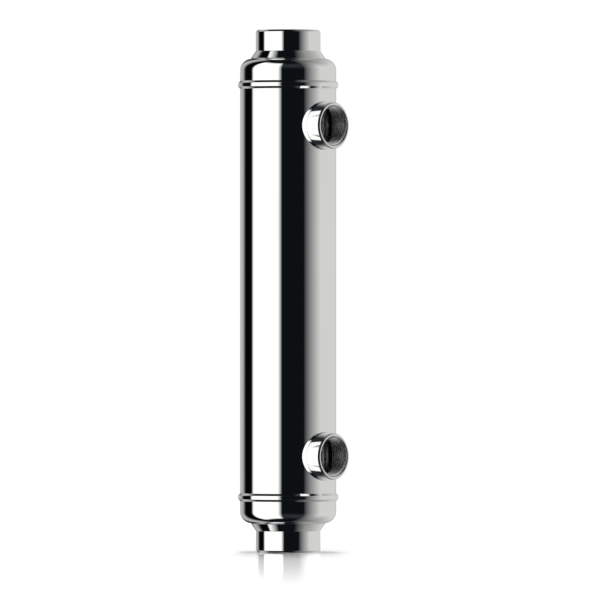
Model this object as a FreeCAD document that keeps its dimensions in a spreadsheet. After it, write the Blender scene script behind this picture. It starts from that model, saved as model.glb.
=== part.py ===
"""Shell and tube heat exchanger, compact stainless type, standing on its lower end socket.

A straight shell is closed at each end by a tube sheet, whose rounded rim shows as a bead.
A pressed cap and a threaded end socket stand on each tube sheet and lead the first liquid
through the straight tubes. Two threaded side sockets lead the second liquid through the
shell, where half-round baffles on four tie rods send it to and fro across the tubes.

Frame: millimetres, +Z up along the shell, +X towards the side sockets, origin at the
centre of the lower end socket's rim.
"""
import math
import os

import FreeCAD
import Part
import Sketcher
from FreeCAD import Placement, Rotation, Vector

# ---------------------------------------------------------------- driving dimensions
DIMENSIONS = [
    ("overall_height", 440.0, "rim to rim of the two end sockets"),
    ("shell_od", 81.0, "outside diameter of shell and caps"),
    ("shell_wall", 1.5, "wall of the shell tube"),
    ("end_to_sheet", 46.6, "end socket rim to the middle of the tube sheet"),
    ("sheet_thickness", 6.7, "tube sheet between shell and cap"),
    ("sheet_spigot", 0.8, "locating step of the tube sheet in shell and cap"),
    ("spigot_clearance", 0.1, "radial clearance round each locating step"),
    ("bead_proud", 1.65, "bead height over the shell"),
    ("bead_flank", 1.1, "sloping flank of the bead, along the shell"),
    ("bead_round", 0.6, "rounding of the bead's two edges"),
    ("cap_wall", 1.5, "wall of the pressed cap"),
    ("knuckle_radius", 9.7, "outside radius of the cap's shoulder"),
    ("end_thread_major", 47.803, "G 1 1/2 thread, major diameter"),
    ("end_thread_length", 16.5, "thread depth from the end socket's rim"),
    ("side_thread_major", 33.249, "G 1 thread, major diameter"),
    ("side_thread_floor", 0.5, "between the side thread's end and the shell"),
    ("thread_depth", 1.479, "major radius less minor radius, at 11 threads an inch"),
    ("thread_chamfer", 1.2, "lead-in at every thread mouth"),
    ("lip_round", 0.9, "outer rounding of every socket rim"),
    ("neck_wall", 3.35, "wall of the end socket over its thread"),
    ("neck_length", 17.9, "straight part of the end socket"),
    ("cone_length", 6.3, "conical foot of the end socket"),
    ("cone_spread", 3.95, "conical foot beyond the neck, where it meets the crown"),
    ("cap_hole_margin", 0.85, "hole in the cap's crown beyond the neck"),
    ("cap_spigot", 2.6, "step of the end socket that drops into the cap's hole"),
    ("cap_spigot_wall", 2.4, "wall of that step at its lower end"),
    ("side_wall", 3.125, "wall of the side socket over its thread"),
    ("side_standout", 11.2, "side socket's face beyond the shell"),
    ("side_to_end", 81.0, "side socket's axis to the nearer rim"),
    ("weld_radius", 2.5, "concave radius of the polished weld round a side socket"),
    ("weld_lip", 0.12, "least thickness of that weld at its edges"),
    ("tube_od", 12.0, "outside diameter of a tube"),
    ("tube_wall", 0.8, "wall of a tube"),
    ("bundle_margin", 2.2, "between the outermost tubes and the shell's bore"),
    ("tube_stickout", 0.8, "tube end beyond the tube sheet"),
    ("sheet_hole_clearance", 0.05, "radial clearance of a tube in the tube sheet"),
    ("baffle_thickness", 1.5, "baffle plate"),
    ("baffle_to_end", 105.0, "end baffle's mid-plane to the nearer rim"),
    ("baffle_clearance", 0.4, "radial clearance of a baffle in the shell"),
    ("baffle_hole_clearance", 0.15, "radial clearance of a tube or rod in a baffle"),
    ("rod_diameter", 4.0, "tie rod"),
    ("rod_margin", 3.7, "between a tie rod's axis and the shell's bore"),
    ("rod_angle", 63.0, "from the X axis to a tie rod, in degrees"),
    ("rod_end", 6.0, "tie rod beyond the last baffle"),
]
BAFFLE_COUNT = 5
TUBE_ROWS = (3, 4, 5, 4, 3)

# ---------------------------------------------------------------- sizes worked out from them
SHELL_R = "params.shell_od / 2"
SHELL_BORE_R = f"({SHELL_R} - params.shell_wall)"
HALF_SHEET = "params.sheet_thickness / 2"
SHEET_FACE = f"({HALF_SHEET} + params.sheet_spigot)"
CAP_FOOT = f"(params.end_to_sheet - {HALF_SHEET})"
CROWN = "(params.neck_length + params.cone_length)"
KNUCKLE_CENTRE_R = f"({SHELL_R} - params.knuckle_radius)"
NECK_R = "(params.end_thread_major / 2 + params.neck_wall)"
CAP_HOLE_R = f"({NECK_R} + params.cap_hole_margin)"
SIDE_R = "(params.side_thread_major / 2 + params.side_wall)"
SIDE_BORE_R = "(params.side_thread_major / 2 - params.thread_depth)"
SIDE_FACE = f"({SHELL_R} + params.side_standout)"
LOWER_SIDE_Z = "params.side_to_end"
UPPER_SIDE_Z = "(params.overall_height - params.side_to_end)"
TUBE_PITCH = (f"(({SHELL_BORE_R} - params.bundle_margin - params.tube_od / 2)"
              f" / {len(TUBE_ROWS) // 2})")
ROW_STEP = f"{TUBE_PITCH} * {math.sqrt(3) / 2:.9f}"
ROD_CIRCLE_R = f"({SHELL_BORE_R} - params.rod_margin)"

doc = FreeCAD.newDocument("heat_exchanger")
sheet = doc.addObject("Spreadsheet::Sheet", "params")
parts = []


def fill_sheet():
    for row, (alias, size, note) in enumerate(DIMENSIONS, start=1):
        sheet.set(f"A{row}", alias)
        sheet.set(f"B{row}", f"{size:g}")
        sheet.set(f"C{row}", note)
        sheet.setAlias(f"B{row}", alias)
    doc.recompute()


def value(expression):
    """The number that an expression over the sheet gives now."""
    result = sheet.evalExpression(expression)
    return float(getattr(result, "Value", result))


# ---------------------------------------------------------------- sketching helpers
def new_body(name):
    body = doc.addObject("PartDesign::Body", name)
    body.Label = name
    parts.append(body)
    return body


def new_sketch(body, role, name):
    plane = next(f for f in body.Origin.OriginFeatures if f.Role == role)
    sketch = body.newObject("Sketcher::SketchObject", name)
    sketch.AttachmentSupport = [(plane, "")]
    sketch.MapMode = "FlatFace"
    return sketch


def pin(sketch, geometry, point, x, y):
    """Holds one point of a sketch at the place that two expressions give."""
    for kind, expression, axis in (("DistanceX", x, -2), ("DistanceY", y, -1)):
        if expression == "0":
            sketch.addConstraint(Sketcher.Constraint("PointOnObject", geometry, point, axis))
            continue
        size = value(expression)
        index = sketch.addConstraint(Sketcher.Constraint(kind, -1, 1, geometry, point, size))
        sketch.setExpression(f"Constraints[{index}]", expression)


def outline(sketch, corners):
    """A closed outline. A corner is (x, y), or (x, y, (cx, cy)) where an arc about that centre
    leads to the next corner, the short way round."""
    places = [Vector(value(c[0]), value(c[1]), 0) for c in corners]
    ends = []
    for i, corner in enumerate(corners):
        start, finish = places[i], places[(i + 1) % len(corners)]
        if len(corner) == 2:
            index = sketch.addGeometry(Part.LineSegment(start, finish), False)
            ends.append((index, 1, 2))
            continue
        centre = Vector(value(corner[2][0]), value(corner[2][1]), 0)
        from_centre = [p - centre for p in (start, finish)]
        turn = from_centre[0].cross(from_centre[1]).z
        angles = [math.atan2(v.y, v.x) for v in from_centre]
        if turn < 0:
            angles.reverse()
        circle = Part.Circle(centre, Vector(0, 0, 1), from_centre[0].Length)
        index = sketch.addGeometry(Part.ArcOfCircle(circle, *angles), False)
        ends.append((index, 1, 2) if turn > 0 else (index, 2, 1))
    for i, (geometry, _, last) in enumerate(ends):
        following, first, _ = ends[(i + 1) % len(ends)]
        sketch.addConstraint(
            Sketcher.Constraint("Coincident", geometry, last, following, first)
        )
    for corner, (geometry, first, _) in zip(corners, ends):
        pin(sketch, geometry, first, corner[0], corner[1])
        if len(corner) == 3:
            size = value(corner[2][0])
            index = sketch.addConstraint(
                Sketcher.Constraint("DistanceX", -1, 1, geometry, 3, size)
            )
            sketch.setExpression(f"Constraints[{index}]", corner[2][0])


def circle(sketch, x, y, radius):
    centre = Vector(value(x), value(y), 0)
    size = value(radius)
    index = sketch.addGeometry(Part.Circle(centre, Vector(0, 0, 1), size), False)
    pin(sketch, index, 3, x, y)
    constraint = sketch.addConstraint(Sketcher.Constraint("Radius", index, size))
    sketch.setExpression(f"Constraints[{constraint}]", radius)


def turned(body, kind, sketch, axis):
    """A Revolution or Groove of the sketch, all the way round one of the sketch's axes."""
    feature = body.newObject(f"PartDesign::{kind}", f"{sketch.Name}_{kind.lower()}")
    feature.Profile = sketch
    feature.ReferenceAxis = (sketch, [axis])
    feature.Angle = 360
    doc.recompute()
    return feature


def pad(body, sketch, length):
    feature = body.newObject("PartDesign::Pad", f"{sketch.Name}_pad")
    feature.Profile = sketch
    feature.setExpression("Length", length)
    doc.recompute()
    return feature


def pocket(body, sketch, length, forward):
    """Cuts the sketch through the body: forward along the plane's normal, or else against it."""
    before = body.Shape.Volume
    feature = body.newObject("PartDesign::Pocket", f"{sketch.Name}_pocket")
    feature.Profile = sketch
    feature.Reversed = forward
    feature.setExpression("Length", length)
    doc.recompute()
    if not feature.Shape.Volume < before:
        raise RuntimeError(f"{feature.Name} cut nothing")
    return feature


def place_end(body, upper):
    """Stands a piece drawn below its rim at the upper end, or turns it over at the lower end."""
    if upper:
        body.setExpression("Placement.Base.z", "params.overall_height")
    else:
        body.Placement = Placement(Vector(0, 0, 0), Rotation(Vector(1, 0, 0), 180))


def tube_places():
    """(x, y) of every tube as expressions, row by row, with the rows square to the X axis."""
    middle_row = (len(TUBE_ROWS) - 1) / 2
    for row, count in enumerate(TUBE_ROWS):
        for column in range(count):
            across = column - (count - 1) / 2
            x = "0" if row == middle_row else f"{row - middle_row:g} * {ROW_STEP}"
            y = "0" if across == 0 else f"{across:g} * {TUBE_PITCH}"
            yield x, y


def rod_places():
    """(x, y) of the four tie rods as expressions."""
    for x_side, y_side in ((1, 1), (-1, 1), (-1, -1), (1, -1)):
        x = f"{x_side} * {ROD_CIRCLE_R} * cos(params.rod_angle * 1 deg)"
        y = f"{y_side} * {ROD_CIRCLE_R} * sin(params.rod_angle * 1 deg)"
        yield x, y


# ---------------------------------------------------------------- pressure parts
def make_shell():
    body = new_body("shell")
    section = new_sketch(body, "XY_Plane", "shell_section")
    circle(section, "0", "0", SHELL_R)
    circle(section, "0", "0", SHELL_BORE_R)
    pad(body, section, f"params.overall_height - 2 * (params.end_to_sheet + {HALF_SHEET})")
    foot = f"params.end_to_sheet + {HALF_SHEET}"
    for name, height in (("lower", LOWER_SIDE_Z), ("upper", UPPER_SIDE_Z)):
        hole = new_sketch(body, "YZ_Plane", f"shell_{name}_hole")
        circle(hole, "0", f"{height} - ({foot})", SIDE_BORE_R)
        pocket(body, hole, "params.shell_od", forward=True)
    body.setExpression("Placement.Base.z", foot)


def make_tube_sheet(name, height):
    body = new_body(name)
    spigot_r = f"{SHELL_BORE_R} - params.spigot_clearance"
    bead_r = f"{SHELL_R} + params.bead_proud"
    crest = f"({HALF_SHEET} - params.bead_flank)"
    section = new_sketch(body, "XZ_Plane", f"{name}_section")
    outline(section, [
        ("0", f"-{SHEET_FACE}"),
        (spigot_r, f"-{SHEET_FACE}"),
        (spigot_r, f"-({HALF_SHEET})"),
        (SHELL_R, f"-({HALF_SHEET})"),
        (bead_r, f"-{crest}"),
        (bead_r, crest),
        (SHELL_R, HALF_SHEET),
        (spigot_r, HALF_SHEET),
        (spigot_r, SHEET_FACE),
        ("0", SHEET_FACE),
    ])
    disc = turned(body, "Revolution", section, "V_Axis")
    rim = body.newObject("PartDesign::Fillet", f"{name}_bead_round")
    crest_r = value(bead_r)
    rim.Base = (disc, [
        f"Edge{i}" for i, edge in enumerate(disc.Shape.Edges, start=1)
        if isinstance(edge.Curve, Part.Circle) and abs(edge.Curve.Radius - crest_r) < 1e-6
    ])
    rim.setExpression("Radius", "params.bead_round")
    doc.recompute()
    holes = new_sketch(body, "XY_Plane", f"{name}_holes")
    for x, y in tube_places():
        circle(holes, x, y, "params.tube_od / 2 + params.sheet_hole_clearance")
    drill = pocket(body, holes, "params.sheet_thickness * 4", forward=True)
    drill.Midplane = True
    body.setExpression("Placement.Base.z", height)


def make_cap(name, upper):
    """Pressed cap: straight skirt, round shoulder and a flat crown with a hole."""
    body = new_body(name)
    knuckle = (KNUCKLE_CENTRE_R, f"-({CROWN} + params.knuckle_radius)")
    skirt_bore = f"{SHELL_R} - params.cap_wall"
    section = new_sketch(body, "XZ_Plane", f"{name}_section")
    outline(section, [
        (SHELL_R, f"-{CAP_FOOT}"),
        (SHELL_R, knuckle[1], knuckle),
        (KNUCKLE_CENTRE_R, f"-{CROWN}"),
        (CAP_HOLE_R, f"-{CROWN}"),
        (CAP_HOLE_R, f"-({CROWN} + params.cap_wall)"),
        (KNUCKLE_CENTRE_R, f"-({CROWN} + params.cap_wall)", knuckle),
        (skirt_bore, knuckle[1]),
        (skirt_bore, f"-{CAP_FOOT}"),
    ])
    turned(body, "Revolution", section, "V_Axis")
    place_end(body, upper)


def make_end_socket(name, upper):
    """Turned end socket: threaded neck, conical foot and a step that drops into the cap."""
    body = new_body(name)
    step_r = f"{CAP_HOLE_R} - params.spigot_clearance"
    major_r = "params.end_thread_major / 2"
    minor_r = f"{major_r} - params.thread_depth"
    runout = "(params.end_thread_length + params.thread_depth)"
    foot = f"({CROWN} + params.cap_spigot)"
    section = new_sketch(body, "XZ_Plane", f"{name}_section")
    outline(section, [
        (step_r, f"-{foot}"),
        (step_r, f"-{CROWN}"),
        (f"{NECK_R} + params.cone_spread", f"-{CROWN}"),
        (NECK_R, "-params.neck_length"),
        (NECK_R, "-params.lip_round", (f"{NECK_R} - params.lip_round", "-params.lip_round")),
        (f"{NECK_R} - params.lip_round", "0"),
        (f"{major_r} + params.thread_chamfer", "0"),
        (major_r, "-params.thread_chamfer"),
        (major_r, "-params.end_thread_length"),
        (minor_r, f"-{runout}"),
        (f"{step_r} - params.cap_spigot_wall", f"-{foot}"),
    ])
    turned(body, "Revolution", section, "V_Axis")
    place_end(body, upper)


def make_side_socket(name, height):
    """Turned side socket along X, its inner end cut to sit on the shell."""
    body = new_body(name)
    major_r = "params.side_thread_major / 2"
    rounding = f"({SIDE_FACE} - params.lip_round)"
    thread_end = f"({SHELL_R} + params.side_thread_floor)"
    inner_end = f"({SHELL_BORE_R} - {SIDE_R} / 2)"
    section = new_sketch(body, "XZ_Plane", f"{name}_section")
    outline(section, [
        (inner_end, SIDE_R),
        (rounding, SIDE_R, (rounding, f"{SIDE_R} - params.lip_round")),
        (SIDE_FACE, f"{SIDE_R} - params.lip_round"),
        (SIDE_FACE, f"{major_r} + params.thread_chamfer"),
        (f"{SIDE_FACE} - params.thread_chamfer", major_r),
        (thread_end, major_r),
        (thread_end, SIDE_BORE_R),
        (inner_end, SIDE_BORE_R),
    ])
    turned(body, "Revolution", section, "H_Axis")
    before = body.Shape.Volume
    saddle = new_sketch(body, "XZ_Plane", f"{name}_saddle")
    outline(saddle, [
        ("0", f"-2 * {SIDE_R}"),
        (SHELL_R, f"-2 * {SIDE_R}"),
        (SHELL_R, f"2 * {SIDE_R}"),
        ("0", f"2 * {SIDE_R}"),
    ])
    turned(body, "Groove", saddle, "V_Axis")
    if not body.Shape.Volume < before:
        raise RuntimeError(f"{name}'s saddle cut nothing")
    body.setExpression("Placement.Base.z", height)


def make_side_weld(name, height):
    """Ring of polished weld in the corner between a side socket and the shell."""
    shell_r, socket_r = value(SHELL_R), value(SIDE_R)
    lip, radius = value("params.weld_lip"), value("params.weld_radius")
    reach, tall = value(SIDE_FACE), value(f"4 * {SIDE_R}")
    up, out = Vector(0, 0, 1), Vector(1, 0, 0)
    foot = Vector(0, 0, -tall / 2)
    grown = Part.makeCylinder(shell_r + lip, tall, foot, up).fuse(
        Part.makeCylinder(socket_r + lip, reach, Vector(), out)
    ).removeSplitter()
    corner = [
        e for e in grown.Edges
        if not isinstance(e.Curve, (Part.Circle, Part.Line))
    ]
    rounded = grown.makeFillet(radius, corner)
    ring = rounded.cut(Part.makeCylinder(shell_r, tall, foot, up))
    ring = ring.cut(Part.makeCylinder(socket_r, 2 * reach, Vector(), out))
    limit = Part.makeCylinder(
        socket_r + radius + lip, shell_r + lip + radius, Vector(), out
    )
    ring = ring.common(limit)
    weld = doc.addObject("Part::Feature", name)
    weld.Label = name
    weld.Shape = Part.makeSolid(max(ring.Solids, key=lambda s: s.Volume).Shells[0])
    weld.Placement = Placement(Vector(0, 0, value(height)), Rotation())
    parts.append(weld)


# ---------------------------------------------------------------- tube bundle
def make_tubes():
    """Every tube is a hollow cylinder that runs through both tube sheets."""
    start = f"params.end_to_sheet - {SHEET_FACE} - params.tube_stickout"
    length = f"params.overall_height - 2 * ({start})"
    for number, (x, y) in enumerate(tube_places(), start=1):
        name = f"tube_{number:02d}"
        outside = doc.addObject("Part::Cylinder", f"{name}_outside")
        outside.setExpression("Radius", "params.tube_od / 2")
        outside.setExpression("Height", length)
        inside = doc.addObject("Part::Cylinder", f"{name}_inside")
        inside.setExpression("Radius", "params.tube_od / 2 - params.tube_wall")
        inside.setExpression("Height", length)
        tube = doc.addObject("Part::Cut", name)
        tube.Label = name
        tube.Base, tube.Tool = outside, inside
        for axis, expression in (("x", x), ("y", y), ("z", start)):
            if expression != "0":
                tube.setExpression(f"Placement.Base.{axis}", expression)
        parts.append(tube)
    doc.recompute()


def baffle_height(number):
    """Underside of a baffle, counted from the lowest, 1."""
    spacing = f"(params.overall_height - 2 * params.baffle_to_end) / {BAFFLE_COUNT - 1}"
    return f"params.baffle_to_end - params.baffle_thickness / 2 + {number - 1} * {spacing}"


def make_baffle(number):
    """Round plate cut off at one side, along the axes of the outer row of tubes."""
    name = f"baffle_{number}"
    body = new_body(name)
    plate_r = f"({SHELL_BORE_R} - params.baffle_clearance)"
    chord = f"{(len(TUBE_ROWS) - 1) / 2:g} * {ROW_STEP}"
    section = new_sketch(body, "XY_Plane", f"{name}_plate")
    circle(section, "0", "0", plate_r)
    pad(body, section, "params.baffle_thickness")
    window = new_sketch(body, "XY_Plane", f"{name}_window")
    outline(window, [
        ("-params.shell_od", "-params.shell_od"),
        (f"-{chord}", "-params.shell_od"),
        (f"-{chord}", "params.shell_od"),
        ("-params.shell_od", "params.shell_od"),
    ])
    pocket(body, window, "params.baffle_thickness", forward=True)
    holes = new_sketch(body, "XY_Plane", f"{name}_holes")
    for x, y in tube_places():
        circle(holes, x, y, "params.tube_od / 2 + params.baffle_hole_clearance")
    for x, y in rod_places():
        circle(holes, x, y, "params.rod_diameter / 2 + params.baffle_hole_clearance")
    pocket(body, holes, "params.baffle_thickness", forward=True)
    if number % 2 == 0:
        body.Placement = Placement(Vector(), Rotation(Vector(0, 0, 1), 180))
    body.setExpression("Placement.Base.z", baffle_height(number))


def make_tie_rods():
    """Four rods from the lower tube sheet through every baffle."""
    start = f"params.end_to_sheet + {SHEET_FACE}"
    end = f"{baffle_height(BAFFLE_COUNT)} + params.baffle_thickness + params.rod_end"
    for number, (x, y) in enumerate(rod_places(), start=1):
        rod = doc.addObject("Part::Cylinder", f"tie_rod_{number}")
        rod.Label = f"tie_rod_{number}"
        rod.setExpression("Radius", "params.rod_diameter / 2")
        rod.setExpression("Height", f"{end} - ({start})")
        rod.setExpression("Placement.Base.x", x)
        rod.setExpression("Placement.Base.y", y)
        rod.setExpression("Placement.Base.z", start)
        parts.append(rod)
    doc.recompute()


# ---------------------------------------------------------------- build, check and write
def check():
    doc.recompute()
    for item in doc.Objects:
        if "Invalid" in item.State or "Error" in item.State:
            raise RuntimeError(f"{item.Name} did not compute: {item.State}")
    for piece in parts:
        if piece.Shape.isNull() or not piece.Shape.isValid():
            raise RuntimeError(f"{piece.Label} has no valid shape")


def write():
    os.makedirs("parts", exist_ok=True)
    for piece in parts:
        piece.Shape.exportStep(f"parts/{piece.Label}.step")
        print(f"{piece.Label}: {len(piece.Shape.Solids)} solid, {piece.Shape.Volume:.0f} mm3")


fill_sheet()
make_shell()
make_tube_sheet("lower_tube_sheet", "params.end_to_sheet")
make_tube_sheet("upper_tube_sheet", "params.overall_height - params.end_to_sheet")
for end in ("lower", "upper"):
    make_cap(f"{end}_cap", end == "upper")
    make_end_socket(f"{end}_end_socket", end == "upper")
for end, side_z in (("lower", LOWER_SIDE_Z), ("upper", UPPER_SIDE_Z)):
    make_side_socket(f"{end}_side_socket", side_z)
    make_side_weld(f"{end}_side_weld", side_z)
make_tubes()
for plate in range(1, BAFFLE_COUNT + 1):
    make_baffle(plate)
make_tie_rods()
check()
write()
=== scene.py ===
import math

import bpy
import numpy as np
from mathutils import Matrix, Vector


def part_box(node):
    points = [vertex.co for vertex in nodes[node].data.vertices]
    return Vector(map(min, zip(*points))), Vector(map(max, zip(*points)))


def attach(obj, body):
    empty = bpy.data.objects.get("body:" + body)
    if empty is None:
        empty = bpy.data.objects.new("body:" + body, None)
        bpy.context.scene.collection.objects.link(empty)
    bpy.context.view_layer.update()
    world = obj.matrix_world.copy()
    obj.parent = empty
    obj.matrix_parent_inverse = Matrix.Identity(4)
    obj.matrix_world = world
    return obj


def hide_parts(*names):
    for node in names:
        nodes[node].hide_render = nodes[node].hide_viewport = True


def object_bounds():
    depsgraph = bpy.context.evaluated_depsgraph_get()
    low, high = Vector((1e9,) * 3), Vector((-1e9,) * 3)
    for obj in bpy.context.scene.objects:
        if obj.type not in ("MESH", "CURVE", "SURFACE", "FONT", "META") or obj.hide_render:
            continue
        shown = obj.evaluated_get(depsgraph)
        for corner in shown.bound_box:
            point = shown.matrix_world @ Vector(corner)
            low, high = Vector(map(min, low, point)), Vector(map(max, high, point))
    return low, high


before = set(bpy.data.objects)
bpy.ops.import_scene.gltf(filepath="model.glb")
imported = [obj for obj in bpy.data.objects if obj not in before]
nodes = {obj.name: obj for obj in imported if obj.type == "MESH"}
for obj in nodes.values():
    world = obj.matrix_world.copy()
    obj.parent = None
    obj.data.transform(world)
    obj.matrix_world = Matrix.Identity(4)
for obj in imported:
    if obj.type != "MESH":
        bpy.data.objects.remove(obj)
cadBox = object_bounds()
mm = 0.001
height = cadBox[1].z / mm  # everything below is in millimetres until it becomes a mesh
print("frame loaded,", len(nodes), "nodes")


# a surface patch is a grid of points with the true normal at each one

def roundedOutline(corners, stepDegrees=6.0):
    # corners (across, along, rounding), anticlockwise with metal on the left
    count = len(corners)
    stations = []
    for i, (x, y, rounding) in enumerate(corners):
        here = np.array((x, y), float)
        before = here - np.array(corners[i - 1][:2], float)
        after = np.array(corners[(i + 1) % count][:2], float) - here
        before /= np.linalg.norm(before)
        after /= np.linalg.norm(after)
        normalBefore = np.array((before[1], -before[0]))
        normalAfter = np.array((after[1], -after[0]))
        turn = math.atan2(before[0] * after[1] - before[1] * after[0], before @ after)
        if rounding == 0 or abs(turn) < 1e-6:
            stations.append((here, normalBefore, normalAfter))
            continue
        side = math.copysign(1, turn)
        setBack = before * rounding * math.tan(abs(turn) / 2)
        centre = here - setBack - side * rounding * normalBefore
        steps = max(3, math.ceil(abs(math.degrees(turn)) / stepDegrees))
        start = math.atan2(normalBefore[1], normalBefore[0])
        for k in range(steps + 1):
            angle = start + turn * k / steps
            normal = np.array((math.cos(angle), math.sin(angle)))
            stations.append((centre + side * rounding * normal, normal, normal))
    return stations


def fullTurn(steps=192):
    return np.linspace(0, 2 * math.pi, steps + 1)


def aroundAxis(axis, across, along, angle):
    # a point or direction turned to an angle round Z or X
    if axis == "z":
        return np.stack([across * np.cos(angle), across * np.sin(angle), along], axis=-1)
    return np.stack([along, across * np.cos(angle), across * np.sin(angle)], axis=-1)


def turnedPatches(stations, steps=192, axis="z", base=0.0, closed=True):
    angles = fullTurn(steps)
    ones = np.ones_like(angles)
    pairs = list(zip(stations, stations[1:] + stations[:1] if closed else stations[1:]))
    patches = []
    for (p, _, normalP), (q, normalQ, _) in pairs:
        points = [aroundAxis(axis, s[0] * ones, (s[1] + base) * ones, angles) for s in (p, q)]
        normals = [aroundAxis(axis, n[0] * ones, n[1] * ones, angles) for n in (normalP, normalQ)]
        patches.append((np.array(points), np.array(normals)))
    return patches


def surfacePatch(position, rows, angles, small=1e-4):
    # position(row, angle) gives points, and the normals come from its two slopes
    row, angle = np.meshgrid(rows, angles, indexing="ij")
    points = position(row, angle)
    alongAngle = position(row, angle + small) - position(row, angle - small)
    alongRow = position(row + small, angle) - position(row - small, angle)
    normals = np.cross(alongAngle, alongRow)
    return points, normals / np.linalg.norm(normals, axis=-1, keepdims=True)


def turnedOver(patches):
    # the same surface turned end for end about the X direction through mid height
    flip = np.array((1, -1, -1))
    lift = np.array((0, 0, height))
    return [(points * flip + lift, normals * flip) for points, normals in patches]


def asItStands(patches):
    return patches


ends = (("upper", asItStands), ("lower", turnedOver))


def buildMesh(name, groups):
    # groups of (patches, material number); points that meet are merged
    points, normals, quads, materialOf = [], [], [], []
    offset = 0
    for patches, number in groups:
        for grid, normalGrid in patches:
            rows, columns = grid.shape[:2]
            index = offset + np.arange(rows * columns).reshape(rows, columns)
            corners = [index[:-1, :-1], index[:-1, 1:], index[1:, 1:], index[1:, :-1]]
            quads.append(np.stack(corners, axis=-1).reshape(-1, 4))
            materialOf += [number] * len(quads[-1])
            points.append(grid.reshape(-1, 3))
            normals.append(normalGrid.reshape(-1, 3))
            offset += rows * columns
    points, normals, quads = map(np.concatenate, (points, normals, quads))
    first, merged = np.unique(
        np.round(points, 3), axis=0, return_index=True, return_inverse=True)[1:]
    merged = merged.reshape(-1)
    faces, loopNormals, faceMaterials = [], [], []
    for quad, number in zip(quads.tolist(), materialOf):
        face, turns = [], []
        for corner in quad:
            vertex = int(merged[corner])
            if vertex not in face:
                face.append(vertex)
                turns.append(corner)
        if len(face) > 2:
            faces.append(face)
            loopNormals += turns
            faceMaterials.append(number)
    mesh = bpy.data.meshes.new(name)
    mesh.from_pydata((points[first] * mm).tolist(), [], faces)
    mesh.polygons.foreach_set("use_smooth", [True] * len(faces))
    mesh.polygons.foreach_set("material_index", faceMaterials)
    mesh.normals_split_custom_set(normals[loopNormals].tolist())
    mesh.update()
    return mesh


def addPiece(name, mesh, materials, replaced=()):
    piece = bpy.data.objects.new(name, mesh)
    bpy.context.scene.collection.objects.link(piece)
    for material in materials:
        mesh.materials.append(material)
    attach(piece, "root")
    if replaced:
        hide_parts(*replaced)
    return piece


# steel finishes

def addGroup(name, inputs, outputs):
    group = bpy.data.node_groups.new(name, "ShaderNodeTree")
    for label, kind, default in inputs:
        socket = group.interface.new_socket(label, in_out="INPUT", socket_type=kind)
        if default is not None:
            socket.default_value = default
    for label, kind in outputs:
        group.interface.new_socket(label, in_out="OUTPUT", socket_type=kind)
    return group, group.nodes.new("NodeGroupInput"), group.nodes.new("NodeGroupOutput")


def addNode(tree, kind, settings=None, inputs=None):
    node = tree.nodes.new(kind)
    for key, value in (settings or {}).items():
        setattr(node, key, value)
    for key, value in (inputs or {}).items():
        if isinstance(value, bpy.types.NodeSocket):
            tree.links.new(value, node.inputs[key])
        else:
            node.inputs[key].default_value = value
    return node


def mathNode(tree, operation, *values):
    node = addNode(tree, "ShaderNodeMath", {"operation": operation}, dict(enumerate(values)))
    return node.outputs[0]


def rampNode(tree, fac, stops):
    node = addNode(tree, "ShaderNodeValToRGB", inputs={"Fac": fac})
    ramp = node.color_ramp
    while len(ramp.elements) < len(stops):
        ramp.elements.new(0.5)
    for element, (place, tone) in zip(ramp.elements, stops):
        element.position = place
    for element, (place, tone) in zip(ramp.elements, stops):
        element.color = (*tone, 1) if isinstance(tone, tuple) else (tone, tone, tone, 1)
    return node.outputs["Color"]


polishTexture = {
    "lines": {"Detail": 5.0, "Roughness": 0.62},
    "haze": {"Detail": 6.0, "Roughness": 0.58, "Distortion": 0.4},
    "hazeSpread": {"From Min": 0.38, "From Max": 0.72},
}
rubTexture = {
    "edge": {"From Min": 0.515, "From Max": 0.6},
    "breaks": {"Detail": 4.0},
    "breakSpread": {"From Min": 0.42, "From Max": 0.62},
}


def polishLines(s):
    # fine lines that a polishing belt leaves round the metal, and the faint haze between them
    group, start, end = addGroup(
        "polishLines",
        [("Vector", "NodeSocketVector", None), ("Stretch", "NodeSocketVector", (1, 1, 1)),
         ("Scale", "NodeSocketFloat", 900.0), ("Haze Scale", "NodeSocketFloat", 18.0)],
        [("Lines", "NodeSocketFloat"), ("Haze", "NodeSocketFloat")])
    stretched = addNode(group, "ShaderNodeVectorMath", {"operation": "MULTIPLY"},
                        {0: start.outputs["Vector"], 1: start.outputs["Stretch"]})
    lines = addNode(group, "ShaderNodeTexNoise", None,
                    {"Vector": stretched.outputs[0], "Scale": start.outputs["Scale"],
                     **s["lines"]})
    cloud = addNode(group, "ShaderNodeTexNoise", None,
                    {"Vector": start.outputs["Vector"], "Scale": start.outputs["Haze Scale"],
                     **s["haze"]})
    spread = addNode(group, "ShaderNodeMapRange", {"clamp": True},
                     {"Value": cloud.outputs["Fac"], **s["hazeSpread"]})
    group.links.new(lines.outputs["Fac"], end.inputs["Lines"])
    group.links.new(spread.outputs["Result"], end.inputs["Haze"])
    return group


def edgeRub(s):
    # corners handled most, broken up so the rub is never an even line
    group, start, end = addGroup(
        "edgeRub",
        [("Vector", "NodeSocketVector", None), ("Break Scale", "NodeSocketFloat", 240.0)],
        [("Rub", "NodeSocketFloat")])
    shape = addNode(group, "ShaderNodeNewGeometry").outputs["Pointiness"]
    edge = addNode(group, "ShaderNodeMapRange", {"interpolation_type": "SMOOTHSTEP"},
                   {"Value": shape, **s["edge"]})
    broken = addNode(group, "ShaderNodeTexNoise", None,
                     {"Vector": start.outputs["Vector"], "Scale": start.outputs["Break Scale"],
                      **s["breaks"]})
    patchy = addNode(group, "ShaderNodeMapRange", None,
                     {"Value": broken.outputs["Fac"], **s["breakSpread"]})
    rub = mathNode(group, "MULTIPLY", edge.outputs["Result"], patchy.outputs["Result"])
    group.links.new(rub, end.inputs["Rub"])
    return group


linesGroup = polishLines(polishTexture)
rubGroup = edgeRub(rubTexture)


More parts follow.
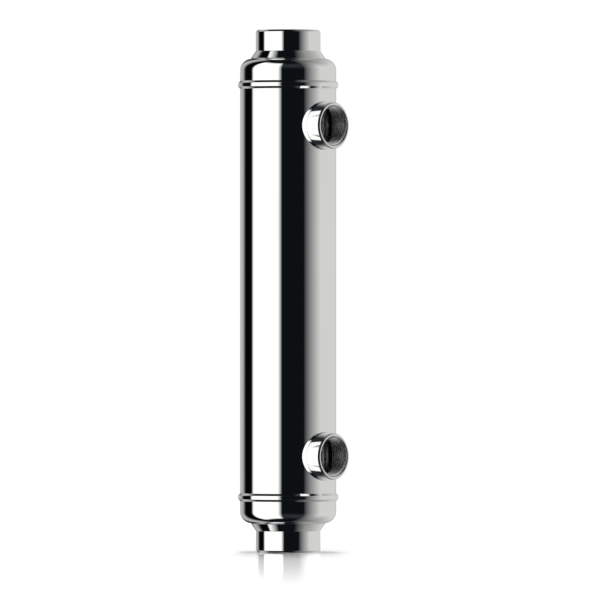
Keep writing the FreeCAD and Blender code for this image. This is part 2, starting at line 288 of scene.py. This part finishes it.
def steelMaterial(name, settings):
    material = bpy.data.materials.new(name)
    material.use_nodes = True
    tree = material.node_tree
    shader = tree.nodes["Principled BSDF"]
    shader.inputs["Metallic"].default_value = 1.0
    place = addNode(tree, "ShaderNodeTexCoord").outputs["Object"]
    marks = addNode(tree, "ShaderNodeGroup", {"node_tree": linesGroup},
                    {"Vector": place, "Stretch": settings["stretch"],
                     "Scale": settings["lineScale"], "Haze Scale": settings["hazeScale"]})
    rub = addNode(tree, "ShaderNodeGroup", {"node_tree": rubGroup},
                  {"Vector": place}).outputs["Rub"]
    tones = rampNode(tree, marks.outputs["Haze"],
                     [(0.0, settings["tone"]), (1.0, settings["hazeTone"])])
    worn = addNode(tree, "ShaderNodeMix", {"data_type": "RGBA"},
                   {"Factor": rub, "A": tones, "B": (*settings["rubTone"], 1)})
    tree.links.new(worn.outputs["Result"], shader.inputs["Base Color"])
    haze = mathNode(tree, "MULTIPLY", marks.outputs["Haze"], settings["hazeRoughness"])
    streaks = mathNode(tree, "MULTIPLY", marks.outputs["Lines"], settings["lineRoughness"])
    rough = mathNode(tree, "ADD", haze, streaks)
    rough = mathNode(tree, "MULTIPLY_ADD", rub, settings["rubRoughness"], rough)
    tree.links.new(mathNode(tree, "ADD", rough, settings["roughness"]), shader.inputs["Roughness"])
    bump = addNode(tree, "ShaderNodeBump", None,
                   {"Height": marks.outputs["Lines"], "Strength": settings["bump"],
                    "Distance": settings["bumpDepth"] * mm})
    tree.links.new(bump.outputs["Normal"], shader.inputs["Normal"])
    return material


mirrorFinish = {
    "tone": (0.955, 0.958, 0.955), "hazeTone": (0.93, 0.934, 0.932),
    "roughness": 0.012, "hazeRoughness": 0.012, "lineRoughness": 0.01,
    "stretch": (0.03, 0.03, 1.0), "lineScale": 900.0, "hazeScale": 18.0,
    "bump": 0.05, "bumpDepth": 0.002, "rubTone": (0.9, 0.9, 0.9), "rubRoughness": 0.015,
}
turnedFinish = {**mirrorFinish, "roughness": 0.02, "lineScale": 1400.0, "bump": 0.1}
sideTurnedFinish = {**turnedFinish, "stretch": (1.0, 0.03, 0.03)}
weldFinish = {**mirrorFinish, "roughness": 0.03, "hazeScale": 60.0, "stretch": (1.0, 1.0, 1.0),
              "lineScale": 120.0, "bump": 0.3, "bumpDepth": 0.01}
threadFinish = {
    "tone": (0.95, 0.95, 0.95), "hazeTone": (0.84, 0.84, 0.84),
    "roughness": 0.24, "hazeRoughness": 0.1, "lineRoughness": 0.06,
    "stretch": (1.0, 1.0, 1.0), "lineScale": 700.0, "hazeScale": 90.0,
    "bump": 0.2, "bumpDepth": 0.01, "rubTone": (0.92, 0.92, 0.92), "rubRoughness": -0.05,
}
faceFinish = {
    "tone": (0.72, 0.72, 0.71), "hazeTone": (0.55, 0.55, 0.54),
    "roughness": 0.22, "hazeRoughness": 0.12, "lineRoughness": 0.1,
    "stretch": (1.0, 1.0, 1.0), "lineScale": 500.0, "hazeScale": 60.0,
    "bump": 0.3, "bumpDepth": 0.01, "rubTone": (0.85, 0.85, 0.84), "rubRoughness": -0.06,
}
drawnFinish = {
    "tone": (0.66, 0.655, 0.64), "hazeTone": (0.5, 0.495, 0.48),
    "roughness": 0.24, "hazeRoughness": 0.14, "lineRoughness": 0.12,
    "stretch": (1.0, 1.0, 0.04), "lineScale": 1500.0, "hazeScale": 35.0,
    "bump": 0.3, "bumpDepth": 0.01, "rubTone": (0.85, 0.85, 0.84), "rubRoughness": -0.06,
}
innerFinish = {**drawnFinish, "tone": (0.8, 0.8, 0.79), "hazeTone": (0.66, 0.66, 0.65),
               "roughness": 0.36, "stretch": (1.0, 1.0, 0.2), "lineScale": 400.0}
plateFinish = {**drawnFinish, "stretch": (0.05, 1.0, 1.0), "lineScale": 900.0,
               "tone": (0.6, 0.595, 0.585), "hazeTone": (0.45, 0.445, 0.44)}

mirrorSteel = steelMaterial("mirrorSteel", mirrorFinish)
turnedSteel = steelMaterial("turnedSteel", turnedFinish)
sideTurnedSteel = steelMaterial("sideTurnedSteel", sideTurnedFinish)
weldSteel = steelMaterial("weldSteel", weldFinish)
threadSteel = steelMaterial("threadSteel", threadFinish)
sheetFaceSteel = steelMaterial("sheetFaceSteel", faceFinish)
drawnSteel = steelMaterial("drawnSteel", drawnFinish)
plateSteel = steelMaterial("plateSteel", plateFinish)
innerSteel = steelMaterial("innerSteel", innerFinish)
print("steel finishes made")


# threads are right-hand, with a rounded 55 degree form

thread = {"pitch": 2.309, "depth": 1.479, "chamfer": 1.2, "rowsPerPitch": 18,
          "rootFlat": 0.1, "flankShare": 0.8}


def threadRadius(along, angle, major, fade=1.0):
    phase = (along / thread["pitch"] - angle / (2 * math.pi)) % 1.0
    t = np.clip((np.abs(2 * phase - 1) - thread["rootFlat"]) / thread["flankShare"], 0, 1)
    return major - thread["depth"] * (1 - t * t * (3 - 2 * t) * fade)


# end sockets

endSocket = {
    "neckRadius": 27.25, "neckLength": 17.9, "coneLength": 6.3, "coneFoot": 31.45,
    "stepRadius": 28.0, "stepLength": 2.6, "stepBore": 25.6, "lip": 1.6, "lipEdge": 0.3,
    "threadMajor": 23.9015, "threadEnd": 15.2, "runOut": 1.8, "pastRunOut": 0.9,
    "flange": 32.2, "weldRounding": 0.9, "relief": 0.3, "reliefEdge": 0.12,
    "footOut": 0.15, "footUp": 0.05, "bedding": 0.1, "smallEdge": 0.2,
    "shoulder": 9.7, "shoulderCentre": 30.8,  # the cap's, where the flange rests on it
}


def endSocketPatches(s):
    minor = s["threadMajor"] - thread["depth"]
    crown = height - s["neckLength"] - s["coneLength"]
    boreEnd = s["threadEnd"] + s["runOut"] + s["pastRunOut"]
    overhang = s["flange"] - s["shoulderCentre"]
    shoulderDrop = s["shoulder"] - math.sqrt(s["shoulder"] ** 2 - overhang ** 2)

    def bore(depth, angle):
        fade = np.clip((s["threadEnd"] + s["runOut"] - depth) / s["runOut"], 0, 1)
        along = height - depth
        radius = threadRadius(along, angle, s["threadMajor"], fade)
        radius = np.maximum(radius, s["threadMajor"] + thread["chamfer"] - depth)
        return aroundAxis("z", radius, along, angle)

    rows = np.linspace(0, boreEnd, int(boreEnd / thread["pitch"] * thread["rowsPerPitch"]))
    inside = surfacePatch(bore, rows, fullTurn())
    outline = roundedOutline([
        (s["threadMajor"] + thread["chamfer"], height, 0),
        (minor, height - boreEnd, 0),
        (s["stepBore"], crown - s["stepLength"], s["smallEdge"]),
        (s["stepRadius"], crown - s["stepLength"], s["smallEdge"]),
        (s["stepRadius"], crown - s["bedding"], 0),
        (s["flange"], crown - shoulderDrop, 0),
        (s["coneFoot"] + s["footOut"], crown + s["footUp"], s["weldRounding"]),
        (s["neckRadius"] + s["relief"], height - s["neckLength"] - s["relief"], s["smallEdge"]),
        (s["neckRadius"], height - s["neckLength"] + s["bedding"], s["reliefEdge"]),
        (s["neckRadius"], height - s["lip"], s["lipEdge"]),
        (s["neckRadius"] - s["lip"], height, s["lipEdge"]),
    ])
    return inside, turnedPatches(outline[1:] + outline[:1], closed=False)


inside, outside = endSocketPatches(endSocket)
for end, turn in ends:
    mesh = buildMesh(f"{end}EndSocket", [(turn(outside), 0), (turn([inside]), 1)])
    addPiece(f"{end}_end_socket_turned", mesh, [turnedSteel, threadSteel],
             [f"{end}_end_socket"])
print("end sockets made")


# caps

cap = {"radius": 40.5, "wall": 1.5, "shoulder": 9.7, "hole": 28.1, "edge": 0.25,
       "stepDegrees": 2.5}


def capPatches(s):
    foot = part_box("upper_cap")[0].z / mm
    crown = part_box("upper_cap")[1].z / mm
    inner = s["radius"] - s["wall"]
    return turnedPatches(roundedOutline([
        (inner, foot, s["edge"]),
        (s["radius"], foot, s["edge"]),
        (s["radius"], crown, s["shoulder"]),
        (s["hole"], crown, s["edge"]),
        (s["hole"], crown - s["wall"], s["edge"]),
        (inner, crown - s["wall"], s["shoulder"] - s["wall"]),
    ], s["stepDegrees"]))


capSurface = capPatches(cap)
for end, turn in ends:
    mesh = buildMesh(f"{end}Cap", [(turn(capSurface), 0)])
    addPiece(f"{end}_cap_pressed", mesh, [mirrorSteel], [f"{end}_cap"])
print("caps made")


# the shell has a hole for each side socket

shell = {
    "radius": 40.5, "bore": 39.0, "hole": 15.1455,
    "columns": 192, "portColumns": 48, "portRows": 32, "portHalf": 29.0, "portRings": 16,
}
sideHeights = [sum(c.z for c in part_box(f"{end}_side_socket")) / 2 / mm
               for end in ("lower", "upper")]


def shellPatches(s):
    lo, hi = (c.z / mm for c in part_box("shell"))
    columns, portColumns = s["columns"], s["portColumns"]
    angles = (np.arange(columns + 1) - portColumns / 2) * 2 * math.pi / columns
    portAngles, otherAngles = angles[:portColumns + 1], angles[portColumns:]
    portLevels = [np.linspace(z - s["portHalf"], z + s["portHalf"], s["portRows"] + 1)
                  for z in sideHeights]
    levels = np.concatenate([[lo], *portLevels, [hi]])
    blank = [np.array([lo, portLevels[0][0]]), np.array([portLevels[0][-1], portLevels[1][0]]),
             np.array([portLevels[1][-1], hi])]

    def wall(radius, z, angle, inward):
        level, turn = np.meshgrid(z, angle, indexing="ij")
        points = aroundAxis("z", radius * np.ones_like(turn), level, turn)
        normals = aroundAxis("z", np.ones_like(turn), np.zeros_like(turn), turn)
        return (points[::-1], -normals[::-1]) if inward else (points, normals)

    def roundHole(radius, middle, z, inward):
        edge = [(portAngles[i], z[0]) for i in range(portColumns)]
        edge += [(portAngles[-1], z[i]) for i in range(s["portRows"])]
        edge += [(portAngles[portColumns - i], z[-1]) for i in range(portColumns)]
        edge += [(portAngles[0], z[s["portRows"] - i]) for i in range(s["portRows"] + 1)]
        edge = np.array(edge)
        bearing = np.arctan2(edge[:, 1] - middle, s["radius"] * np.sin(edge[:, 0]))
        rim = np.stack([np.arcsin(s["hole"] * np.cos(bearing) / radius),
                        middle + s["hole"] * np.sin(bearing)], axis=-1)
        share = np.linspace(0, 1, s["portRings"])[:, None, None]
        grid = edge * (1 - share) + rim * share
        turn, level = grid[..., 0], grid[..., 1]
        points = aroundAxis("z", radius * np.ones_like(turn), level, turn)
        normals = aroundAxis("z", np.ones_like(turn), np.zeros_like(turn), turn)
        return (points[::-1], -normals[::-1]) if inward else (points, normals)

    faces = {False: [], True: []}
    rims = []
    for radius, inward in ((s["radius"], False), (s["bore"], True)):
        patches = faces[inward]
        patches.append(wall(radius, levels, otherAngles, inward))
        patches += [wall(radius, z, portAngles, inward) for z in blank]
        for middle, z in zip(sideHeights, portLevels):
            patches.append(roundHole(radius, middle, z, inward))
            rims.append(patches[-1][0][0 if inward else -1])
    for k, middle in enumerate(sideHeights):
        outer, innerRim = rims[k], rims[k + 2]
        centre = np.array((0, 0, middle))
        normals = [-(rim - centre) * (0, 1, 1) / s["hole"] for rim in (outer, innerRim)]
        patches.append((np.array([outer, innerRim]), np.array(normals)))
    for z, down in ((lo, True), (hi, False)):
        rings = [aroundAxis("z", r * np.ones_like(angles), z * np.ones_like(angles), angles)
                 for r in ((s["bore"], s["radius"]) if down else (s["radius"], s["bore"]))]
        normals = np.zeros((2, len(angles), 3))
        normals[..., 2] = -1 if down else 1
        patches.append((np.array(rings), normals))
    return faces[False], faces[True]


shellOutside, shellInside = shellPatches(shell)
addPiece("shell_polished", buildMesh("shellPolished", [(shellOutside, 0), (shellInside, 1)]),
         [mirrorSteel, innerSteel], ["shell"])
print("shell made")


# side sockets and the polished weld round each

sideSocket = {
    "radius": 19.75, "threadMajor": 16.6245, "face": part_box("upper_side_socket")[1].x / mm,
    "lip": 1.3, "lipEdge": 0.15, "collar": 4.0, "mouth": 0.8, "rows": 110,
}
sideWeld = {"climb": 1.7, "sideClimb": 0.9, "spread": 0.9, "sideSpread": 0.6,
            "fullness": 0.12, "steps": 9, "bury": 0.4}


def saddle(radius, angle):
    # where a round of that radius along X meets the shell
    return np.sqrt(shell["radius"] ** 2 - (radius * np.cos(angle)) ** 2)


def towardsAxis(points):
    level = points * (1, 1, 0)
    return -level / np.linalg.norm(level, axis=-1, keepdims=True)


def sideSocketPatches(s, middle):
    angles = fullTurn()
    lift = np.array((0, 0, middle))

    def bore(row, angle):
        end = saddle(s["threadMajor"], angle)
        along = s["face"] - row * (s["face"] - end)
        radius = threadRadius(along, angle, s["threadMajor"])
        radius = np.maximum(radius, s["threadMajor"] + s["mouth"] - (s["face"] - along))
        return aroundAxis("x", radius, along, angle)

    inside = surfacePatch(bore, np.linspace(0, 1, s["rows"]), angles)
    outline = roundedOutline([
        (s["radius"], s["face"] - s["collar"], 0),
        (s["radius"], s["face"] - s["lip"], s["lipEdge"]),
        (s["radius"] - s["lip"], s["face"], s["lipEdge"]),
        (s["threadMajor"] + s["mouth"], s["face"], 0),
    ])
    outside = turnedPatches(outline, axis="x", closed=False)
    root = aroundAxis("x", s["radius"] * np.ones_like(angles), saddle(s["radius"], angles),
                      angles)
    collar = outside[0][0][0]
    radial = outside[0][1][0]
    outside.append((np.array([root, collar]), np.array([radial, radial])))
    seat = np.array([inside[0][-1], root])
    outside.append((seat, towardsAxis(seat)))
    outside = [(points + lift, normals) for points, normals in outside]
    return [(inside[0] + lift, inside[1])], outside


def sideWeldPatches(s, middle):
    # laid from a line round the socket down to a line on the shell, slightly full between them
    radius = sideSocket["radius"]

    def bead(row, angle):
        side = np.cos(angle) ** 2
        rise = saddle(radius, angle) + s["climb"] + s["sideClimb"] * side
        collar = aroundAxis("x", radius * np.ones_like(angle), rise, angle)
        spread = radius + s["spread"] + s["sideSpread"] * side
        foot = aroundAxis("x", spread, saddle(spread, angle), angle)
        across = aroundAxis("x", np.ones_like(angle), np.ones_like(angle), angle)
        full = (s["fullness"] * 4 * row * (1 - row))[..., None] * across / math.sqrt(2)
        return foot * (1 - row[..., None]) + collar * row[..., None] + full

    angles = fullTurn()
    points, normals = surfacePatch(bead, np.linspace(0, 1, s["steps"]), angles)
    buried = aroundAxis("x", (radius - s["bury"]) * np.ones_like(angles),
                        saddle(radius, angles) - s["bury"], angles)
    inward = aroundAxis("x", -np.ones_like(angles), np.zeros_like(angles), angles)
    downward = towardsAxis(points[0])
    patches = [(points, normals), (np.array([points[-1], buried]), np.array([inward, inward])),
               (np.array([buried, points[0]]), np.array([downward, downward]))]
    return [(p + (0, 0, middle), n) for p, n in patches]


for end, middle in zip(("lower", "upper"), sideHeights):
    inside, outside = sideSocketPatches(sideSocket, middle)
    mesh = buildMesh(f"{end}SideSocket", [(outside, 0), (inside, 1)])
    addPiece(f"{end}_side_socket_turned", mesh, [sideTurnedSteel, threadSteel],
             [f"{end}_side_socket"])
    mesh = buildMesh(f"{end}SideWeld", [(sideWeldPatches(sideWeld, middle), 0)])
    addPiece(f"{end}_side_weld_polished", mesh, [weldSteel], [f"{end}_side_weld"])
print("side sockets and welds made")


# a tube sheet is a beaded rim, a drilled plate and a weld round each tube end

tubeSheet = {
    "plateRadius": 37.5, "spigot": 38.9, "spigotHeight": 4.15, "half": 3.35,
    "bead": 42.15, "flank": 1.8, "beadRound": 0.3, "beadShift": 0.3, "stepEdge": 0.1,
    "stepDegrees": 5.0, "holeEdge": 0.12, "holeGap": 0.05, "circleArm": 0.5523,
    "tubeRadius": 6.0,
}
tubeWeld = {
    "gap": 0.02, "bury": 0.1, "leg": 0.95, "toe": 0.75, "toeRise": 0.32, "toeRound": 0.3,
    "crown": 0.62, "crownRound": 0.1, "stepDegrees": 18.0, "steps": 56,
}
tubePlaces = [(sum(c.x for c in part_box(f"tube_{i:02d}")) / 2 / mm,
               sum(c.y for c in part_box(f"tube_{i:02d}")) / 2 / mm) for i in range(1, 20)]


def rimPatches(s, middle):
    top, half, shift = s["spigotHeight"], s["half"], s["beadShift"]
    return turnedPatches(roundedOutline([
        (s["plateRadius"], -top, 0), (s["spigot"], -top, s["stepEdge"]), (s["spigot"], -half, 0),
        (shell["radius"], -half, 0), (shell["radius"], shift - half, 0),
        (s["bead"], s["flank"] - half + shift, s["beadRound"]),
        (s["bead"], half - s["flank"] + shift, s["beadRound"]),
        (shell["radius"], half + shift, 0), (s["spigot"], half, 0),
        (s["spigot"], top, s["stepEdge"]), (s["plateRadius"], top, 0),
    ], s["stepDegrees"]), base=middle)


def drilledPlate(name, s, middle):
    curve = bpy.data.curves.new(name, "CURVE")
    curve.dimensions = "2D"
    curve.fill_mode = "BOTH"
    curve.resolution_u = 16
    curve.extrude = (s["spigotHeight"] - s["holeEdge"]) * mm
    curve.bevel_depth = s["holeEdge"] * mm
    curve.bevel_resolution = 2
    curve.offset = -s["holeEdge"] * mm
    rounds = [(0, 0, s["plateRadius"])]
    rounds += [(x, y, s["tubeRadius"] + s["holeGap"]) for x, y in tubePlaces]
    for x, y, radius in rounds:
        spline = curve.splines.new("BEZIER")
        spline.use_cyclic_u = True
        spline.bezier_points.add(3)
        for k, point in enumerate(spline.bezier_points):
            c, d = ((1, 0), (0, 1), (-1, 0), (0, -1))[k]
            arm = radius * s["circleArm"]
            px, py = x + c * radius, y + d * radius
            point.co = (px * mm, py * mm, 0)
            point.handle_left = ((px + d * arm) * mm, (py - c * arm) * mm, 0)
            point.handle_right = ((px - d * arm) * mm, (py + c * arm) * mm, 0)
    holder = bpy.data.objects.new(name, curve)
    bpy.context.scene.collection.objects.link(holder)
    bpy.context.view_layer.update()
    shaped = holder.evaluated_get(bpy.context.evaluated_depsgraph_get())
    mesh = bpy.data.meshes.new_from_object(shaped)
    bpy.data.objects.remove(holder)
    mesh.transform(Matrix.Translation((0, 0, middle * mm)))
    return mesh


def tubeWeldPatches(s, middle, up):
    face = tubeSheet["spigotHeight"]
    radius = tubeSheet["tubeRadius"]
    outline = roundedOutline([
        (radius + s["gap"], face - s["bury"], 0),
        (radius + s["leg"], face - s["bury"], 0),
        (radius + s["toe"], face + s["toeRise"], s["toeRound"]),
        (radius + s["gap"], face + s["crown"], s["crownRound"]),
    ], s["stepDegrees"])
    patches = []
    for x, y in tubePlaces:
        for points, normals in turnedPatches(outline, steps=s["steps"]):
            patches.append((points * (1, 1, up) + (x, y, middle), normals * (1, 1, up)))
    if up < 0:
        patches = [(points[:, ::-1], normals[:, ::-1]) for points, normals in patches]
    return patches


for end, up in (("lower", -1), ("upper", 1)):
    middle = sum(c.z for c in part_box(f"{end}_tube_sheet")) / 2 / mm
    rimSurface = rimPatches(tubeSheet, middle if up > 0 else height - middle)
    rim = buildMesh(f"{end}Rim", [(rimSurface if up > 0 else turnedOver(rimSurface), 0)])
    addPiece(f"{end}_tube_sheet_rim", rim, [mirrorSteel], [f"{end}_tube_sheet"])
    plate = drilledPlate(f"{end}Plate", tubeSheet, middle)
    addPiece(f"{end}_tube_sheet_plate", plate, [sheetFaceSteel])
    welds = buildMesh(f"{end}TubeWelds", [(tubeWeldPatches(tubeWeld, middle, up), 0)])
    addPiece(f"{end}_tube_end_welds", welds, [weldSteel])
print("tube sheets made")


# the frame's own tubes, baffles and rods, given their finish

for name, node in nodes.items():
    if name.startswith(("tube_", "tie_rod_", "baffle_")):
        node.data.materials.clear()
        node.data.materials.append(plateSteel if name.startswith("baffle_") else drawnSteel)
print("bundle finished")


# floor, light and camera

studio = {
    "azimuth": 41.3, "distance": 9.0, "lens": 640.6, "right": 10.0, "aim": 212.45,
    "floorRadius": 4.0, "floorTone": 0.86, "mattReach": (0.8, 2.2), "skyForFloor": 0.03,
    "gloss": 0.62, "glossReach": 1.15, "glossTone": 1.62, "glossRoughness": 0.06,
    "glossFade": 1.8, "floorSides": 96, "sensor": 36.0, "clipEnd": 200.0,
    "stripPower": 264.0, "stripHeight": 4.0, "stripBehind": 0.48, "stripLength": 3.1,
    "stripWidth": 0.25,
}
azimuth = math.radians(studio["azimuth"])
towards = Vector((math.sin(azimuth), -math.cos(azimuth), 0))
rightward = Vector((math.cos(azimuth), math.sin(azimuth), 0))

# a dark room with soft panels round it. A panel grows to full and fades again over four turns,
# in degrees to the right of the front, and four heights in degrees. Later ones stand in front.
allTurns = (-2, -1, 361, 362)
allHeights = (-2, -1, 91, 92)
room = {"light": 0.0055, "darkTint": (0.75, 1.0, 1.3), "paleTint": (1.0, 1.0, 0.985),
        "tintFade": 20.0}
panels = {
    "glow": {"turns": allTurns, "heights": (5, 30, 46, 62), "light": 0.028},
    "lowBackWall": {"turns": (150, 165, 204, 212), "heights": (-2, -1, 16, 42), "light": 0.5},
    "leftBackWall": {"turns": (196, 206, 217, 236), "heights": (-2, -1, 44, 62), "light": 0.47},
    "rightWall": {"turns": (38, 84, 154, 176), "heights": (-2, -1, 20, 82), "light": 0.66},
    "gap": {"turns": (176, 185, 194, 206), "heights": (4, 16, 26, 38), "light": 0.002},
    "lamp": {"turns": (174, 181, 192, 206), "heights": (34, 46, 60, 71), "light": 1.2},
    "blackFlag": {"turns": (228, 238, 262, 272), "heights": allHeights, "light": 0.002},
    "softbox": {"turns": (262, 269, 335, 345), "heights": (-2, -1, 53, 64), "light": 1.1},
}


def softSpan(tree, value, angles):
    start, full, fade, end = angles
    grow = addNode(tree, "ShaderNodeMapRange", None,
                   {"Value": value, "From Min": start, "From Max": full})
    drop = addNode(tree, "ShaderNodeMapRange", None,
                   {"Value": value, "From Min": end, "From Max": fade})
    return mathNode(tree, "MULTIPLY", grow.outputs["Result"], drop.outputs["Result"])


def addFloor(s):
    mesh = bpy.data.meshes.new("floor")
    rim = [(s["floorRadius"] * math.cos(a), s["floorRadius"] * math.sin(a), 0)
           for a in fullTurn(s["floorSides"])[:-1]]
    mesh.from_pydata(rim, [], [tuple(range(len(rim)))])
    floor = bpy.data.objects.new("floor", mesh)
    bpy.context.scene.collection.objects.link(floor)
    material = bpy.data.materials.new("paleFloor")
    material.use_nodes = True
    tree = material.node_tree
    tree.nodes.remove(tree.nodes["Principled BSDF"])
    place = addNode(tree, "ShaderNodeTexCoord").outputs["Object"]
    distance = addNode(tree, "ShaderNodeVectorMath", {"operation": "LENGTH"},
                       {0: place}).outputs["Value"]
    mattEnd, sweepStart = s["mattReach"]
    far = addNode(tree, "ShaderNodeMapRange", {"interpolation_type": "SMOOTHSTEP"},
                  {"Value": distance, "From Min": mattEnd, "From Max": sweepStart})
    reach = addNode(tree, "ShaderNodeMapRange", None,
                    {"Value": distance, "From Min": 0.0, "From Max": s["glossReach"]})
    fade = mathNode(tree, "POWER", reach.outputs["Result"], s["glossFade"])
    near = mathNode(tree, "SUBTRACT", 1.0, fade)
    matt = addNode(tree, "ShaderNodeBsdfDiffuse", None, {"Color": (*[s["floorTone"]] * 3, 1)})
    sweep = addNode(tree, "ShaderNodeEmission", None, {"Color": (1, 1, 1, 1)})
    gloss = addNode(tree, "ShaderNodeBsdfGlossy", None,
                    {"Color": (*[s["glossTone"]] * 3, 1), "Roughness": s["glossRoughness"]})
    pale = addNode(tree, "ShaderNodeMixShader", None,
                   {"Fac": far.outputs["Result"], 1: matt.outputs[0], 2: sweep.outputs[0]})
    mix = addNode(tree, "ShaderNodeMixShader", None,
                  {"Fac": mathNode(tree, "MULTIPLY", near, s["gloss"]), 1: pale.outputs[0],
                   2: gloss.outputs[0]})
    tree.links.new(mix.outputs[0], tree.nodes["Material Output"].inputs["Surface"])
    mesh.materials.append(material)
    floor.visible_glossy = False  # the steel shows the studio all round it, not the floor


def addStudio(s):
    world = bpy.data.worlds.new("studio")
    world.use_nodes = True
    bpy.context.scene.world = world
    tree = world.node_tree
    direction = addNode(tree, "ShaderNodeTexCoord").outputs["Generated"]
    ahead = addNode(tree, "ShaderNodeVectorMath", {"operation": "DOT_PRODUCT"},
                    {0: direction, 1: towards}).outputs["Value"]
    aside = addNode(tree, "ShaderNodeVectorMath", {"operation": "DOT_PRODUCT"},
                    {0: direction, 1: rightward}).outputs["Value"]
    up = addNode(tree, "ShaderNodeSeparateXYZ", None, {0: direction}).outputs["Z"]
    turn = mathNode(tree, "DEGREES", mathNode(tree, "ARCTAN2", aside, ahead))
    turn = mathNode(tree, "WRAP", turn, 360.0, 0.0)
    rise = mathNode(tree, "DEGREES", mathNode(tree, "ARCSINE", mathNode(tree, "ABSOLUTE", up)))
    light = room["light"]
    for panel in panels.values():
        share = mathNode(tree, "MULTIPLY", softSpan(tree, turn, panel["turns"]),
                         softSpan(tree, rise, panel["heights"]))
        blend = addNode(tree, "ShaderNodeMix", None,
                        {"Factor": share, "A": light, "B": panel["light"]})
        light = blend.outputs["Result"]
    dark = mathNode(tree, "EXPONENT", mathNode(tree, "MULTIPLY", light, -room["tintFade"]))
    tint = addNode(tree, "ShaderNodeMix", {"data_type": "RGBA"},
                   {"Factor": dark, "A": (*room["paleTint"], 1), "B": (*room["darkTint"], 1)})
    tinted = addNode(tree, "ShaderNodeVectorMath", {"operation": "SCALE"},
                     {0: tint.outputs["Result"], "Scale": light})
    rays = addNode(tree, "ShaderNodeLightPath")
    plain = addNode(tree, "ShaderNodeMix", {"data_type": "RGBA"},
                    {"Factor": rays.outputs["Diffuse Depth"], "A": tinted.outputs[0],
                     "B": (*[s["skyForFloor"]] * 3, 1)})
    seen = addNode(tree, "ShaderNodeMix", {"data_type": "RGBA"},
                   {"Factor": rays.outputs["Is Camera Ray"], "A": plain.outputs["Result"],
                    "B": (1.0, 1.0, 1.0, 1)})
    tree.links.new(seen.outputs["Result"], tree.nodes["Background"].inputs["Color"])


def addStrip(s):
    # one strip overhead and a little behind, in line with the view, for a close shadow
    data = bpy.data.lights.new("strip", "AREA")
    data.shape = "RECTANGLE"
    data.size = s["stripWidth"]
    data.size_y = s["stripLength"]
    data.energy = s["stripPower"]
    strip = bpy.data.objects.new("strip", data)
    bpy.context.scene.collection.objects.link(strip)
    strip.location = Vector((0, 0, s["stripHeight"])) - towards * s["stripBehind"]
    strip.rotation_euler = (0, 0, azimuth)
    strip.visible_glossy = False


def addCamera(s):
    data = bpy.data.cameras.new("camera")
    data.lens = s["lens"]
    data.sensor_width = s["sensor"]
    data.clip_end = s["clipEnd"]
    camera = bpy.data.objects.new("camera", data)
    bpy.context.scene.collection.objects.link(camera)
    aim = rightward * s["right"] * mm + Vector((0, 0, s["aim"] * mm))
    camera.location = aim + towards * s["distance"]
    camera.rotation_euler = (-towards).to_track_quat("-Z", "Y").to_euler()
    bpy.context.scene.camera = camera


addFloor(studio)
addStudio(studio)
addStrip(studio)
addCamera(studio)
bpy.context.scene.view_settings.view_transform = "Standard"
print("studio set")
